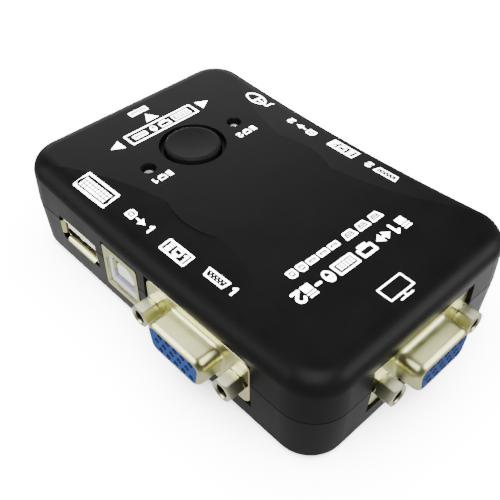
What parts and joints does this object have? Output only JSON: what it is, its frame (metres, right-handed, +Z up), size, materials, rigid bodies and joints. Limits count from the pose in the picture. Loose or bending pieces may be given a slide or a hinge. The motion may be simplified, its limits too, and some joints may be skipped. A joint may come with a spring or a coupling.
{
  "type": "kvm switch",
  "caption": "Desktop box that shares one monitor, keyboard and mouse between two computers, with video and USB sockets round its sides and a push button on top.",
  "frame": {"origin": "middle of the case's underside, on the surface it stands on", "axes": "+Z up through the button's face, +Y towards the end with the monitor's video port, +X towards the first computer's ports"},
  "size_m": [0.0736, 0.1, 0.0258],
  "materials": {
    "case_black": "fine satin texture",
    "button_black": "smooth satin",
    "screw_steel": "black zinc",
    "board_green": "solder mask",
    "switch_white": "moulded",
    "spring_steel": "bright wire",
    "lead_tin": "tinned",
    "lamp_clear": "clear epoxy",
    "shield_nickel": "nickel plated, glossy",
    "jack_nickel": "nickel plated, turned",
    "bracket_steel": "plated",
    "vga_blue": "moulded",
    "contact_gold": "gold flashed",
    "tongue_white": "moulded",
    "socket_white": "moulded",
    "chip_black": "moulded",
    "capacitor_tan": "fired",
    "resistor_black": "fired",
    "capacitor_sleeve": "shrunk sleeve",
    "print_white": "screen-printed ink"
  },
  "bodies": {
    "case": {"top_cover": "case_black", "bottom_cover": "case_black", "case_screws": "screw_steel", "main_board": "board_green", "switch_spring": "spring_steel", "switch_housing": "chip_black", "switch_terminals": "lead_tin", "lamp_pc1": "lamp_clear", "lamp_pc2": "lamp_clear", "lamp_leads": "lead_tin", "vga_monitor_shield": "shield_nickel", "vga_monitor_insulator": "vga_blue", "vga_monitor_contacts": "contact_gold", "vga_monitor_jackscrews": "jack_nickel", "vga_monitor_brackets": "bracket_steel", "vga_pc1_shield": "shield_nickel", "vga_pc1_insulator": "vga_blue", "vga_pc1_contacts": "contact_gold", "vga_pc1_jackscrews": "jack_nickel", "vga_pc1_brackets": "bracket_steel", "vga_pc2_shield": "shield_nickel", "vga_pc2_insulator": "vga_blue", "vga_pc2_contacts": "contact_gold", "vga_pc2_jackscrews": "jack_nickel", "vga_pc2_brackets": "bracket_steel", "usb_keyboard_shell": "shield_nickel", "usb_keyboard_tongue": "tongue_white", "usb_keyboard_contacts": "contact_gold", "usb_mouse_shell": "shield_nickel", "usb_mouse_tongue": "tongue_white", "usb_mouse_contacts": "contact_gold", "usb_console_shell": "shield_nickel", "usb_console_tongue": "tongue_white", "usb_console_contacts": "contact_gold", "usb_pc1_shell": "shield_nickel", "usb_pc1_housing": "socket_white", "usb_pc1_contacts": "contact_gold", "usb_pc2_shell": "shield_nickel", "usb_pc2_housing": "socket_white", "usb_pc2_contacts": "contact_gold", "switching_chips": "chip_black", "chip_capacitors": "capacitor_tan", "chip_resistors": "resistor_black", "supply_capacitor": "capacitor_sleeve"},
    "button": {"button_cap": "button_black", "switch_plunger": "switch_white"}
  },
  "joints": [
    {"name": "button_push", "type": "slide", "parent": "case", "child": "button", "axis": [0, 0, -1], "range_m": [0, 0.0022], "stiffness_N_per_m": 600, "springref_m": -0.002, "deforming": ["switch_spring"]}
  ]
}
